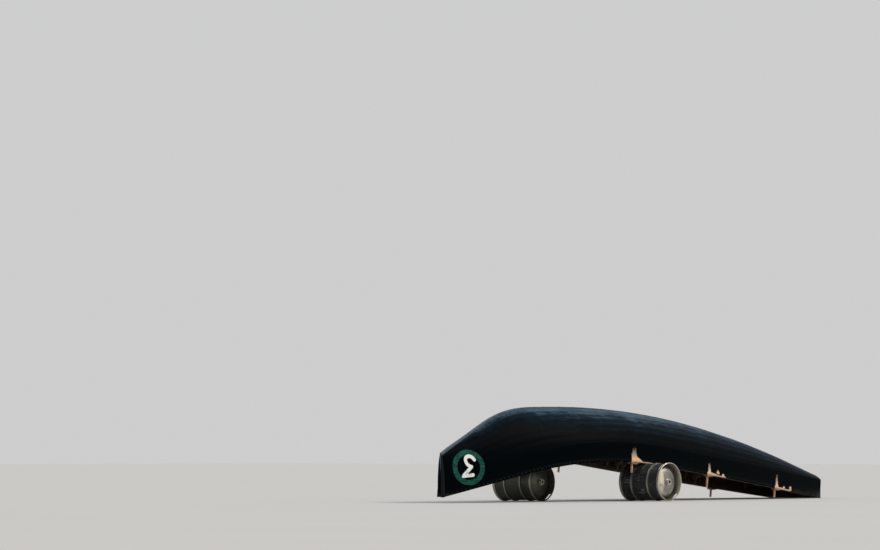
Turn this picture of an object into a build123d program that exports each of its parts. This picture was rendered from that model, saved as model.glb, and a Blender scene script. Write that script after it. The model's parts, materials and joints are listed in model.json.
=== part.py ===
from build123d import *
import os
from math import cos, degrees, radians, sin, sqrt, tan

# A canvas currach for three rowers, stored upturned with two steel kegs under its gunwales.
#
# The boat is drawn the way it is built, keel up, in its own frame: x runs from the transom to the bow,
# y to starboard and z from the gunwale up to the keel, with z = 0 at the gunwale's edge at the transom.
# Every piece inside the canvas is cut from the same hull form, drawn at its own depth under the canvas.
# The finished boat is then tilted until it rests on its kegs and on the stern. Sizes are in millimetres.

# Plan of the gunwale: its half width grows to the widest station and shrinks again towards the stem
hull_length = 6211
beam = 1100
widest_at = 2900
transom_width = 720
stem_width = 60
bow_fullness = 2.2
side_flare = 15

# Sheer: straight aft, then an arc, then straight to the stem
sheer_rise_length = 2911
sheer_arc_from = hull_length - sheer_rise_length
sheer_radius = 6000
sheer_angle = 19.8

# Keel line: one long arc, a tighter arc at the forefoot, then straight to the stem
keel_height = 582
keel_peak_at = 2750
keel_radius = 13900
forefoot_length = 1261
forefoot_from = hull_length - forefoot_length
forefoot_radius = 1750
forefoot_angle = 32
stem_rake = 6.6

# Shape of a section: an upright side, a knuckle, then part of an ellipse over the keel
side_height = 210
knuckle_angle = 20
bilge_angle = 180 - 2 * knuckle_angle

# Evenly spaced sections shape the hull. The last one lies past the stem, where the form is cut off.
section_count, past_stem, thinnest = 17, 40, 2

# Skin and frame, from the outside in
seat_gap = 0.3
canvas_thickness = 4
lath_count, lath_width, lath_thickness, lath_fairing = 15, 45, 8, 0.5
rib_thickness, rib_width, rib_fairing = 14, 34, 1.3
rib_spacing, first_rib, last_rib_to_bow = 300, 310, 480
keel_strip_width, keel_strip_tip, stem_band_width, strip_thickness = 44, 26, 30, 14

# Rails along the sides, and the end timbers
rail_end = hull_length - 161
lath_end = rail_end - 100
gunwale_height, gunwale_width = 40, 45
inwale_height, inwale_width = 40, 30
transom_thickness = 25
breasthook_height, breasthook_from = 34, rail_end - 320
quarter_knee_reach, quarter_knee_throat, quarter_knee_height = 240, 80, 32

# Seats: (node, middle, width along the boat)
thwart_thickness = 25
thwarts = [
    ("stern_thwart", 0.053 * hull_length, 210),
    ("aft_thwart", 0.2175 * hull_length, 220),
    ("middle_thwart", 0.437 * hull_length, 220),
    ("forward_thwart", 0.649 * hull_length, 220),
    ("bow_thwart", 0.807 * hull_length, 180),
]
stanchion_length, stanchion_depth = 35, 24
knee_thickness, knee_reach, knee_leg, knee_throat = 26, 170, 24, 54
footrest_height, footrest_width, footrest_depth, footrest_behind_pin = 30, 50, 95, 150

# Thole pins, from forward to aft, each behind its rower's thwart: the length that stands out of the pad
pins_exposed = [92, 118, 84]
pin_behind_thwart = 330
pin_radius, pin_tail_radius, pin_inset = 12, 9, 26
pad_thickness, pad_tip, pad_width, pad_forward, pad_aft = 18, 8, 52, 35, 80
thole_pins = [(thwarts[3 - n][1] - pin_behind_thwart, exposed) for n, exposed in enumerate(pins_exposed)]

# Steel kegs, lying on their sides across the boat
keg_length = 532
keg_rim_radius, keg_body_radius, keg_hoop_radius = 204, 193, 202
keg_rim_width, keg_rim_wall, keg_end_depth, keg_end_crown, keg_shoulder = 12, 7, 46, 16, 30
keg_hoop_width, keg_hoops_at, keg_edge_radius = 36, (158, 374), 3
hand_hole_length, hand_hole_height, hand_hole_at, hand_hole_cut, keg_roll = 104, 24, 27, 30, 35
valve_flange_radius, valve_flange_height, valve_radius, valve_height = 36, 5, 28, 26
valve_bore_radius, valve_bore_depth, poppet_radius, poppet_height = 19, 18, 8, 12
keg_behind_pin = 37
aft_keg_at, aft_keg_reach = thole_pins[0][0] - keg_behind_pin - keg_rim_radius, 840
forward_keg_reach = -70

rib_count = int((hull_length - last_rib_to_bow - first_rib) / rib_spacing) + 1
section_pitch = (hull_length + past_stem) / (section_count - 1)
stations = [n * section_pitch for n in range(section_count)]


def half_breadth(x):
    """Half the width over the gunwales at station x."""
    if x > widest_at:
        share = (x - widest_at) / (hull_length - widest_at)
        return beam / 2 - (beam - stem_width) / 2 * share**bow_fullness
    share = (widest_at - x) / widest_at
    return beam / 2 - (beam - transom_width) / 2 * share**2


def sheer(x):
    """Height of the gunwale's edge at station x."""
    arc_end = sheer_arc_from + sheer_radius * sin(radians(sheer_angle))
    if x <= sheer_arc_from:
        return 0
    if x <= arc_end:
        return sqrt(sheer_radius**2 - (x - sheer_arc_from) ** 2) - sheer_radius
    return sheer_radius * (cos(radians(sheer_angle)) - 1) - (x - arc_end) * tan(radians(sheer_angle))


def keel(x):
    """Height of the canvas on the centreline at station x."""
    if x <= forefoot_from:
        return keel_height - keel_radius + sqrt(keel_radius**2 - (x - keel_peak_at) ** 2)
    start_slope = (forefoot_from - keel_peak_at) / keel_radius
    arc_centre_x = forefoot_from - forefoot_radius * start_slope
    arc_centre_z = keel(forefoot_from) - forefoot_radius * sqrt(1 - start_slope**2)
    arc_end = arc_centre_x + forefoot_radius * sin(radians(forefoot_angle))
    if x <= arc_end:
        return arc_centre_z + sqrt(forefoot_radius**2 - (x - arc_centre_x) ** 2)
    arc_end_z = arc_centre_z + forefoot_radius * cos(radians(forefoot_angle))
    return arc_end_z - (x - arc_end) * tan(radians(forefoot_angle))


def ellipse(x, inset):
    """Centre height, half width and height of the ellipse at station x, this far under the canvas."""
    half_width = half_breadth(x) * (1 - side_flare / (beam / 2)) / cos(radians(knuckle_angle))
    height = (keel(x) - sheer(x) - side_height) / (1 - sin(radians(knuckle_angle)))
    return keel(x) - height, max(half_width - inset, thinnest), height - inset


def on_ellipse(x, inset, angle):
    """The point (y, z) at this angle round the ellipse."""
    centre, half_width, height = ellipse(x, inset)
    return half_width * cos(radians(angle)), centre + height * sin(radians(angle))


def on_side(x, inset, lift):
    """The point (y, z) on the starboard side, at this depth and this height over the gunwale's edge."""
    knuckle_y, knuckle_z = on_ellipse(x, inset, knuckle_angle)
    gunwale_y = max(half_breadth(x) - inset * cos(radians(knuckle_angle)), thinnest)
    return gunwale_y + (knuckle_y - gunwale_y) * lift / (knuckle_z - sheer(x)), sheer(x) + lift


def plane_at(x):
    """The plane of the section at station x, with its own x axis to starboard."""
    return Plane(origin=(x, 0, 0), x_dir=(0, 1, 0), z_dir=(1, 0, 0))


def hull_section(x, inset, below):
    """The whole section, this far under the canvas, and carried on this far below the gunwale."""
    centre, *radii = ellipse(x, inset)
    side_y, side_z = on_side(x, inset, -below)
    with BuildSketch(plane_at(x)) as section:
        with BuildLine():
            arc = EllipticalCenterArc((0, centre), *radii, knuckle_angle, arc_size=bilge_angle)
            Polyline(arc @ 1, (-side_y, side_z), (side_y, side_z), arc @ 0)
        make_face()
    return section.sketch


def stem_plane(inset):
    """The raked plane behind the stem's front, this far under the canvas, facing forward."""
    facing = Vector(cos(radians(stem_rake)), 0, -sin(radians(stem_rake)))
    origin = Vector(hull_length, 0, keel(hull_length)) - facing * inset
    return Plane(origin=origin, x_dir=(0, 1, 0), z_dir=facing)


def hull_form(inset, below=side_height):
    """The whole hull as one solid, at this depth, and carried on this far below the gunwale."""
    with BuildPart() as form:
        loft([hull_section(x, inset, below) for x in stations])
        if inset > 0:
            split(bisect_by=Plane.YZ.offset(inset), keep=Keep.TOP)
        split(bisect_by=stem_plane(inset), keep=Keep.BOTTOM)
    return form.part


def band(low, high):
    """Everything between two heights above the gunwale's edge."""
    with BuildPart() as space:
        with BuildSketch(Plane.XZ):
            with BuildLine():
                edge = Spline(*[(x, sheer(x) + low) for x in stations])
                top = Spline(*[(x, sheer(x) + high) for x in stations])
                Line(edge @ 0, top @ 0)
                Line(edge @ 1, top @ 1)
            make_face()
        extrude(amount=beam, both=True)
    return space.part


def slices(starts, width):
    """Upright slabs across the hull, from each station in turn."""
    with BuildPart() as slabs:
        for x in starts:
            with BuildSketch(plane_at(x)):
                Rectangle(2 * beam, 4 * beam)
            extrude(amount=width)
    return slabs.part


def board(x_from, x_to, low, high):
    """A flat board from side to side, between two heights above the gunwale's edge at its two ends."""
    with BuildPart() as slab:
        with BuildSketch(Plane.XZ):
            with BuildLine():
                lower = [(x, sheer(x) + low) for x in (x_from, x_to)]
                upper = [(x, sheer(x) + high) for x in (x_to, x_from)]
                Polyline(*lower, *upper, close=True)
            make_face()
        extrude(amount=beam, both=True)
    return slab.part


def layer(outer, inner, low, high=2 * beam):
    """The hull form between two depths under the canvas and two heights above the gunwale's edge."""
    with BuildPart() as shell:
        add(hull_form(outer))
        add(hull_form(inner, below=2 * side_height), mode=Mode.SUBTRACT)
        add(band(low, high), mode=Mode.INTERSECT)
    return shell.part


def to_port(part):
    """The same piece on the port side."""
    return mirror(part, about=Plane.XZ, mode=Mode.PRIVATE)


# Depths under the canvas's outer face
frame_outer = canvas_thickness + seat_gap
lath_outer = frame_outer + lath_fairing
lath_inner = lath_outer + lath_thickness
rib_outer = lath_inner + rib_fairing
rib_inner = rib_outer + rib_thickness
gunwale_inner = frame_outer + gunwale_width
inwale_inner = frame_outer + inwale_width
stanchion_inner = frame_outer + stanchion_depth

# Heights above the gunwale's edge: the ribs stand on the inwale, and the thwarts hang under it
inwale_high = side_height - rib_inner * sin(radians(knuckle_angle)) - seat_gap
inwale_low = inwale_high - inwale_height
thwart_high = inwale_low - seat_gap
thwart_low = thwart_high - thwart_thickness
transom_face = frame_outer + transom_thickness
rail_start = transom_face + seat_gap

# Canvas: widths laid across the boat, sewn over the thwarts, in halves that meet under the keel strip
canvas_seams = [-past_stem, *[middle for name, middle, width in thwarts[1:]], hull_length + past_stem]
with BuildPart() as half_skin:
    add(layer(0, canvas_thickness, 0))
    split(bisect_by=Plane.XZ, keep=Keep.BOTTOM)
canvas = {}
for name, start, end in zip(("stern", "aft", "middle", "forward", "bow"), canvas_seams, canvas_seams[1:]):
    with BuildPart() as starboard_width:
        add(half_skin.part)
        add(slices([start], end - start), mode=Mode.INTERSECT)
    with BuildPart() as port_width:
        add(to_port(starboard_width.part))
    canvas[name + "_canvas_starboard"] = starboard_width
    canvas[name + "_canvas_port"] = port_width

# Keel strip outside the canvas, narrower over the forefoot
strip_outer = -seat_gap - strip_thickness
with BuildPart() as keel_strip:
    with BuildSketch(Plane.XY.offset(-beam)):
        with BuildLine():
            wide, narrow = keel_strip_width / 2, keel_strip_tip / 2
            aft, bend, tip = seat_gap, forefoot_from, hull_length + strip_thickness
            starboard_edge = [(aft, wide), (bend, wide), (tip, narrow)]
            Polyline(*starboard_edge, *[(x, -y) for x, y in reversed(starboard_edge)], close=True)
        make_face()
    extrude(amount=2 * beam)
    add(layer(strip_outer, -seat_gap, side_height), mode=Mode.INTERSECT)
    split(bisect_by=stem_plane(0), keep=Keep.BOTTOM)

# Stem band down the front of the stem, over the end of the keel strip
with BuildPart() as stem_band:
    add(hull_form(strip_outer))
    add(band(0, 2 * beam), mode=Mode.INTERSECT)
    split(bisect_by=stem_plane(-seat_gap), keep=Keep.TOP)
    for side, keep in ((-1, Keep.BOTTOM), (1, Keep.TOP)):
        split(bisect_by=Plane.XZ.offset(side * stem_band_width / 2), keep=keep)

# Timbers at the two ends, cut from the form that fits inside the canvas
with BuildPart() as lining:
    add(hull_form(frame_outer))
    add(band(0, 2 * beam), mode=Mode.INTERSECT)
with BuildPart() as stem_post:
    add(lining.part)
    split(bisect_by=Plane.YZ.offset(rail_end + seat_gap), keep=Keep.TOP)
with BuildPart() as transom:
    add(lining.part)
    split(bisect_by=Plane.YZ.offset(transom_face), keep=Keep.BOTTOM)


def side_rail(inner, low, high):
    """A rail along the starboard side, from the transom to the stem post."""
    with BuildPart() as rail:
        add(layer(frame_outer, inner, low, high))
        split(bisect_by=Plane.XZ, keep=Keep.BOTTOM)
        split(bisect_by=Plane.YZ.offset(rail_start), keep=Keep.TOP)
        split(bisect_by=Plane.YZ.offset(rail_end), keep=Keep.BOTTOM)
    return rail.part


def pin_seat(x):
    """The point (x, y, z) on the underside of a thole pad, where the pin comes out of it."""
    y, z = on_side(x, frame_outer + gunwale_width / 2, 0)
    return x, y, z - seat_gap - pad_thickness


upward = (Align.CENTER, Align.CENTER, Align.MIN)
downward = (Align.CENTER, Align.CENTER, Align.MAX)
with BuildPart() as pin_holes:
    for x, exposed in thole_pins:
        with Locations(pin_seat(x)):
            Cylinder(pin_tail_radius + seat_gap, pad_thickness + pin_inset + 2 * seat_gap, align=upward)

# Gunwale with its pin holes, and the inwale that carries the rib feet
with BuildPart() as gunwale_starboard:
    add(side_rail(gunwale_inner, 0, gunwale_height))
    add(pin_holes.part, mode=Mode.SUBTRACT)
with BuildPart() as gunwale_port:
    add(to_port(gunwale_starboard.part))
with BuildPart() as inwale_starboard:
    add(side_rail(inwale_inner, inwale_low, inwale_high))
with BuildPart() as inwale_port:
    add(to_port(inwale_starboard.part))


def bent_section(x, outer, inner, start_angle, arc_size):
    """A strip bent round the ellipse at station x, between two depths under the canvas."""
    arcs = []
    with BuildSketch(plane_at(x)) as section:
        with BuildLine():
            for inset in (outer, inner):
                centre, *radii = ellipse(x, inset)
                arcs.append(EllipticalCenterArc((0, centre), *radii, start_angle, arc_size=arc_size))
            Line(arcs[0] @ 0, arcs[1] @ 0)
            Line(arcs[0] @ 1, arcs[1] @ 1)
        make_face()
    return section.sketch


# Laths along the hull, against the canvas
lath_pitch = bilge_angle / lath_count
lath_angle = degrees(lath_width / (beam / 2))
with BuildPart() as laths:
    for n in range(lath_count):
        start_angle = knuckle_angle + lath_pitch * (n + 0.5) - lath_angle / 2
        loft([bent_section(x, lath_outer, lath_inner, start_angle, lath_angle) for x in stations])
    split(bisect_by=Plane.YZ.offset(rail_start), keep=Keep.TOP)
    split(bisect_by=Plane.YZ.offset(lath_end), keep=Keep.BOTTOM)

# Ribs bent inside the laths, standing on the inwales
with BuildPart() as ribs:
    for n in range(rib_count):
        edges = [first_rib + rib_spacing * n + side * rib_width / 2 for side in (-1, 1)]
        bends = [bent_section(x, rib_outer, rib_inner, knuckle_angle, bilge_angle) for x in edges]
        loft(bends, ruled=True)

# Thwarts under the inwales, with a stanchion at each corner
stanchion_starts = []
seats = {}
for name, middle, width in thwarts:
    stanchion_room = width / 2 + seat_gap
    stanchion_starts += [middle - stanchion_room - stanchion_length, middle + stanchion_room]
    with BuildPart() as seat:
        add(board(middle - width / 2, middle + width / 2, thwart_low, thwart_high))
        add(lining.part, mode=Mode.INTERSECT)
    seats[name] = seat
with BuildPart() as stanchions_starboard:
    add(side_rail(stanchion_inner, gunwale_height + seat_gap, inwale_low - seat_gap))
    add(slices(stanchion_starts, stanchion_length), mode=Mode.INTERSECT)
with BuildPart() as stanchions_port:
    add(to_port(stanchions_starboard.part))

# Knees tie each thwart but the stern one to the gunwale
with BuildPart() as knees_starboard:
    for name, middle, width in thwarts[1:]:
        y, z = on_side(middle, (frame_outer + gunwale_inner) / 2, 0)
        foot_y = on_side(middle, gunwale_inner, 0)[0]
        top = sheer(middle) + thwart_low + thwart_thickness / 2
        seat_z = top - thwart_thickness / 2
        with BuildSketch(plane_at(middle - knee_thickness / 2)):
            with BuildLine():
                bend = ThreePointArc(
                    (foot_y - knee_reach, seat_z - knee_leg),
                    (foot_y - knee_throat, seat_z - knee_throat),
                    (foot_y - knee_leg, z),
                )
                Polyline(bend @ 1, (y, z), (y, top), (foot_y - knee_reach, top), bend @ 0)
            make_face()
        extrude(amount=knee_thickness)
        add(seats[name].part, mode=Mode.SUBTRACT)
    add(gunwale_starboard.part, mode=Mode.SUBTRACT)
with BuildPart() as knees_port:
    add(to_port(knees_starboard.part))

# Breasthook and quarter knees lock the corners of the gunwale frame
with BuildPart() as breasthook:
    add(board(breasthook_from, rail_end, 0, breasthook_height))
    add(hull_form((frame_outer + gunwale_inner) / 2), mode=Mode.INTERSECT)
    add(gunwale_starboard.part, mode=Mode.SUBTRACT)
    add(gunwale_port.part, mode=Mode.SUBTRACT)
with BuildPart() as quarter_knees:
    corner = on_side(rail_start, (frame_outer + gunwale_inner) / 2, 0)[0]
    with BuildSketch(Plane.XY):
        with BuildLine():
            bend = ThreePointArc(
                (rail_start + quarter_knee_reach, corner),
                (rail_start + quarter_knee_throat, corner - quarter_knee_throat),
                (rail_start, corner - quarter_knee_reach),
            )
            Polyline(bend @ 1, (rail_start, corner), bend @ 0)
        make_face()
    extrude(amount=quarter_knee_height)
    add(gunwale_starboard.part, mode=Mode.SUBTRACT)
    mirror(about=Plane.XZ)

# Footrests from side to side against the ribs, one behind each pair of pins
with BuildPart() as footrests:
    for x, exposed in thole_pins:
        rib_at = first_rib + rib_spacing * int((x - footrest_behind_pin - first_rib) / rib_spacing)
        with Locations((rib_at, 0, keel(rib_at) - footrest_depth)):
            Box(footrest_width, 2 * beam, footrest_height, align=downward)
    add(hull_form(rib_inner + seat_gap), mode=Mode.INTERSECT)


# Thole pins stand in pads on the gunwale's edge, which taper aft
with BuildPart() as thole_pads_starboard:
    for x, exposed in thole_pins:
        y, z = on_side(x, frame_outer + gunwale_width / 2, 0)
        fore, aft = [sheer(x + along) - sheer(x) for along in (pad_forward, -pad_aft)]
        with BuildSketch(Plane(origin=(x, y, z - seat_gap), x_dir=(1, 0, 0), z_dir=(0, -1, 0))):
            with BuildLine():
                against_gunwale = [(-pad_aft, aft), (pad_forward, fore)]
                outside = [(pad_forward, -pad_thickness), (-pad_forward, -pad_thickness)]
                Polyline(*against_gunwale, *outside, (-pad_aft, aft - pad_tip), close=True)
            make_face()
        extrude(amount=pad_width / 2, both=True)
    add(pin_holes.part, mode=Mode.SUBTRACT)
with BuildPart() as thole_pads_port:
    add(to_port(thole_pads_starboard.part))
with BuildPart() as thole_pins_starboard:
    for x, exposed in thole_pins:
        with Locations(pin_seat(x)):
            Cylinder(pin_radius, exposed, align=downward)
            Cylinder(pin_tail_radius, pad_thickness + pin_inset, align=upward)
with BuildPart() as thole_pins_port:
    add(to_port(thole_pins_starboard.part))


def keg_half_profile():
    """Half of the keg's profile, from its middle to its end at height 0, as (radius, height) points."""
    rim, wall, end = keg_rim_radius, keg_rim_wall, -keg_end_depth
    return [
        (keg_body_radius, end - keg_shoulder),
        (keg_body_radius + keg_rim_wall / 2, end - keg_rim_width),
        (rim, -keg_rim_width),
        (rim, 0),
        (rim - wall, 0),
        (rim - 2 * wall, end),
        (rim - 5 * wall, end),
        (0, end + keg_end_crown),
    ]


# A keg, turned about its own axis from its valve end at z = 0 down to its base, with two hand holes
with BuildPart() as keg:
    half = keg_half_profile()
    with BuildSketch(Plane.XZ):
        with BuildLine():
            Polyline(*[(r, -keg_length - z) for r, z in reversed(half)], *half, close=True)
        make_face()
        with Locations(*[(keg_body_radius, -hoop) for hoop in keg_hoops_at]):
            Ellipse(keg_hoop_radius - keg_body_radius, keg_hoop_width / 2)
        fillet([corner for corner in vertices() if corner.X > keg_edge_radius], keg_edge_radius)
    revolve(axis=Axis.Z)
    with BuildSketch(Plane.XZ.offset(keg_rim_radius)):
        with Locations((0, -hand_hole_at)):
            SlotOverall(hand_hole_length, hand_hole_height)
    hand_hole = extrude(amount=-hand_hole_cut, mode=Mode.SUBTRACT)
    mirror(hand_hole, about=Plane.XZ, mode=Mode.SUBTRACT)
with BuildPart() as valve:
    with Locations((0, 0, keg_end_crown - keg_end_depth + seat_gap)):
        Cylinder(valve_flange_radius, valve_flange_height, align=upward)
        Cylinder(valve_radius, valve_height, align=upward)
        with Locations((0, 0, valve_height)):
            Hole(valve_bore_radius, valve_bore_depth)
        with Locations((0, 0, valve_height - valve_bore_depth)):
            Cylinder(poppet_radius, poppet_height, align=upward)


def in_world(x, z, tilt):
    """Where a point of the boat lies along the beach and above it, with the boat tilted at its stern."""
    return x * cos(tilt) - z * sin(tilt), x * sin(tilt) + z * cos(tilt)


def room_over_keg(keg_at, tilt):
    """The least height between the gunwale's edge and a keg's body."""
    rooms = []
    for x in range(int(widest_at), int(hull_length)):
        along, height = in_world(x, sheer(x), tilt)
        if abs(along - keg_at) < keg_body_radius:
            rooms.append(height - keg_rim_radius - sqrt(keg_body_radius**2 - (along - keg_at) ** 2))
    return min(rooms)


def settle(room, tight, loose):
    """The value between a tight and a loose one at which the room left is the seat gap."""
    for halving in range(30):
        middle = (tight + loose) / 2
        if room(middle) < seat_gap:
            tight = middle
        else:
            loose = middle
    return loose


# The boat comes down on the aft keg, and the forward keg is rolled towards the bow until it touches
tilt = settle(lambda angle: room_over_keg(aft_keg_at, angle), 0, radians(15))
kegs_touch = aft_keg_at + 2 * keg_rim_radius
forward_keg_at = settle(lambda at: room_over_keg(at, tilt), hull_length - keg_rim_radius, kegs_touch)

boat = {
    **canvas,
    "keel_strip": keel_strip,
    "stem_band": stem_band,
    "stem_post": stem_post,
    "transom": transom,
    "gunwale_starboard": gunwale_starboard,
    "gunwale_port": gunwale_port,
    "inwale_starboard": inwale_starboard,
    "inwale_port": inwale_port,
    "laths": laths,
    "ribs": ribs,
    "stanchions_starboard": stanchions_starboard,
    "stanchions_port": stanchions_port,
    "knees_starboard": knees_starboard,
    "knees_port": knees_port,
    "breasthook": breasthook,
    "quarter_knees": quarter_knees,
    "footrests": footrests,
    "thole_pads_starboard": thole_pads_starboard,
    "thole_pads_port": thole_pads_port,
    "thole_pins_starboard": thole_pins_starboard,
    "thole_pins_port": thole_pins_port,
    **seats,
}

# The bow points to -X. The origin is on the floor, under the middle of the whole.
turned = Rotation(0, 0, 180)
places = {name: (piece, turned * Rotation(0, -degrees(tilt), 0)) for name, piece in boat.items()}
for name, at, reach in [
    ("aft_keg", aft_keg_at, aft_keg_reach),
    ("forward_keg", forward_keg_at, forward_keg_reach),
]:
    spot = turned * Pos(at, reach, keg_rim_radius) * Rotation(-90, 0, 0) * Rotation(0, 0, keg_roll)
    places[name] = (keg, spot)
    places[name + "_valve"] = (valve, spot)
placed = {name: place * piece.part for name, (piece, place) in places.items()}
boxes = [piece.bounding_box() for piece in placed.values()]
corners = [tuple(corner) for box in boxes for corner in (box.min, box.max)]
low, high = [[pick(values) for values in zip(*corners)] for pick in (min, max)]
centred = Pos(-(low[0] + high[0]) / 2, -(low[1] + high[1]) / 2, -low[2])

os.makedirs("parts", exist_ok=True)
for name, piece in placed.items():
    finished = centred * piece
    finished.label = name
    export_step(finished, f"parts/{name}.step")
print("tilt", round(degrees(tilt), 3), "forward keg at", round(forward_keg_at, 1))
print("corners before centring", low, high)
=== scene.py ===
"""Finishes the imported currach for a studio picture: canvas, timber, kegs and fastenings on a pale floor."""

import json
from collections import namedtuple
from functools import partial, reduce
from math import cos, pi, radians, sin, sqrt, tan
from operator import and_, or_

import bmesh
import bpy
import numpy as np
from bpy.props import FloatProperty, FloatVectorProperty, IntProperty, PointerProperty
from bpy.types import Operator, Panel, PropertyGroup
from mathutils import Matrix, Vector, noise
from mathutils.bvhtree import BVHTree


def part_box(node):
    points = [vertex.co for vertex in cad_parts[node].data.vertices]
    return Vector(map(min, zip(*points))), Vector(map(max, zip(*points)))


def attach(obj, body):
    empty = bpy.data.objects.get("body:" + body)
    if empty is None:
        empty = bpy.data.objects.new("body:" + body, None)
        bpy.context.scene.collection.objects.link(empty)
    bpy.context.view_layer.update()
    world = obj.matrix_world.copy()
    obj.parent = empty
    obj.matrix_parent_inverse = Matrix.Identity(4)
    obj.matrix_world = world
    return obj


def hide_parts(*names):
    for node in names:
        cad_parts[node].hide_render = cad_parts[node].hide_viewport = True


bl_info = {
    "name": "Upturned Canvas Currach",
    "version": (1, 0, 0),
    "blender": (4, 5, 0),
    "location": "View3D > Sidebar > Currach",
    "description": "Finishes the packed currach and its kegs for a studio picture",
    "category": "Object",
}

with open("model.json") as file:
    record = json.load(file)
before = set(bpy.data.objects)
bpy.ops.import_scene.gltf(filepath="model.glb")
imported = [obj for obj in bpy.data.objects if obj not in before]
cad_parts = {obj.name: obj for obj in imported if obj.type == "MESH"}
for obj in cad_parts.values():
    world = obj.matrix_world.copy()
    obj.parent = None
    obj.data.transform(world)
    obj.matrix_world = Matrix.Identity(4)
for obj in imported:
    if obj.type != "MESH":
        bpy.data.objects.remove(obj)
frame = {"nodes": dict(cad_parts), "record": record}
pin_mounts = [mount for mount in frame["record"]["mounts"] if mount["kind"] == "pin"]

# The boat's own axes: forward, to starboard, and towards the keel, from which the thole pins point away
keelward = -Vector(pin_mounts[0]["axis"])
athwart = Vector((0, -1, 0))
forward = athwart.cross(keelward)

# Directions in the boat's own frame, where x runs forward, y to starboard and z up to the keel
UP, DOWN, AFT, PORT = [Vector(way) for way in ((0, 0, 1), (0, 0, -1), (-1, 0, 0), (0, -1, 0))]

# A distance from the boat's origin that lies outside the whole boat
OUTSIDE = 9


def nodes_with(word):
    """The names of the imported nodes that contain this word."""
    return [name for name in frame["nodes"] if word in name]


def node_mesh(name):
    """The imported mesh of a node."""
    return frame["nodes"][name].data


CANVAS_NODES = nodes_with("canvas")


def boat_origin():
    """The middle of the stern at the gunwale's edge, which is the lowest place of the canvas."""
    low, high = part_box("keel_strip")
    corners = [vertex.co for name in CANVAS_NODES for vertex in node_mesh(name).vertices]
    lowest = min(corners, key=lambda corner: corner.z)
    return Vector((lowest.x, (low.y + high.y) / 2, lowest.z))


to_row = Matrix.Translation(boat_origin()) @ Matrix((forward, athwart, keelward)).transposed().to_4x4()
to_boat = to_row.inverted()


# Settings


def setting(kind, **options):
    """A kind of setting, which takes its default value and its description."""
    return lambda default, description: partial(
        kind, default=default, description=description, **options
    )


length = setting(FloatProperty, min=0, precision=4, unit="LENGTH")
angle = setting(FloatProperty, min=0, subtype="ANGLE")
strength = setting(FloatProperty, min=0)
whole = setting(IntProperty, min=0)
colour = setting(FloatVectorProperty, size=3, subtype="COLOR", min=0, max=1)


def labelled(group):
    """The group, with each setting labelled by its own name."""
    for name, made in group.__annotations__.items():
        group.__annotations__[name] = made(name=name.replace("_", " ").title())
    return group


@labelled
class CanvasSettings(PropertyGroup):
    side_height: length(0.21, "Height of the upright side, up to the knuckle")
    thickness: length(0.0038, "Thickness of the canvas with its tar")
    lath_count: whole(15, "Laths from knuckle to knuckle")
    sag: length(0.0017, "Depth of the canvas between two laths")
    side_sag: length(0.0025, "Depth of the canvas between gunwale and inwale")
    seam_width: length(0.026, "Width of the lap between two widths of canvas")
    hem_width: length(0.032, "Width of the turned hem at the gunwale")
    hem_height: length(0.0014, "How far the hem stands proud")
    tar: colour((0.0007, 0.0018, 0.0024), "Fresh tar")
    # Dried and bleached tar are partly a painted sheen of the sky, lightening and bluing the upward faces
    dry_tar_and_sheen: colour((0.0080, 0.0180, 0.0300), "Tar that has dried")
    bleached_tar_and_sheen: colour((0.064, 0.115, 0.165), "Tar that sun and salt have bleached")
    # Width of a painted highlight on the canvas beside the keel strip
    ridge_highlight_width: length(0.07, "Width of the bleached canvas by the keel strip")
    sand: colour((0.30, 0.27, 0.23), "Dry sand on the canvas")
    inside: colour((0.055, 0.042, 0.03), "The canvas's inner face")


@labelled
class MarkSettings(PropertyGroup):
    from_stem: length(0.328, "From the stem aft to the mark's middle")
    over_knuckle: length(0.0235, "From the knuckle to the mark's middle")
    ring_width: length(0.39, "Width of the whole ring")
    ring_height: length(0.366, "Height of the whole ring")
    ring_stroke: length(0.058, "Width of the ring's stroke")
    number_height: length(0.235, "Height of the painted number")
    number_stroke: length(0.038, "Width of the number's stroke")
    ring_paint: colour((0.014, 0.100, 0.070), "Paint of the ring")
    number_paint: colour((0.86, 0.86, 0.80), "Paint of the number")


@labelled
class WearSettings(PropertyGroup):
    streak_behind_pin: length(0.008, "Distance of the streak behind its thole pin")
    rub_length: length(0.36, "Length of the rubbed edge behind a thole pin")
    rub_height: length(0.015, "Height of the thin end of the rubbed edge")
    spot_width: length(0.062, "Width of a rubbed spot beside the streak")
    rubbed: colour((0.80, 0.49, 0.29), "Grease where the oars rub")
    bare_cloth: colour((0.62, 0.52, 0.41), "Canvas that the oars have rubbed bare")
    faded_cloth: colour((0.21, 0.20, 0.17), "Top of a streak, where it fades")
    rubbed_edge: colour((0.10, 0.045, 0.022), "Stain round the rubbed places")


@labelled
class TimberSettings(PropertyGroup):
    # The frame's and the rails' colours are partly darkened as a painted shade, for the dark under the
    # upturned hull
    frame_light: colour((0.175, 0.108, 0.060), "Pale grain of the laths, ribs and thwarts")
    frame_dark: colour((0.068, 0.037, 0.020), "Dark grain of the laths, ribs and thwarts")
    rail_light: colour((0.080, 0.052, 0.032), "Pale grain of the gunwales and inwales")
    rail_dark: colour((0.034, 0.020, 0.012), "Dark grain of the gunwales and inwales")
    pin_light: colour((0.62, 0.37, 0.21), "Pale grain of the thole pins")
    pin_dark: colour((0.36, 0.18, 0.09), "Dark grain of the thole pins")
    pad_light: colour((0.33, 0.19, 0.10), "Pale grain of the thole pads")
    pad_dark: colour((0.14, 0.07, 0.035), "Dark grain of the thole pads")
    # The bare strip's bluish grey is worn wood and partly a painted sheen of the sky
    bare_strip: colour((0.21, 0.24, 0.27), "Keel strip where its tar has worn off")


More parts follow.
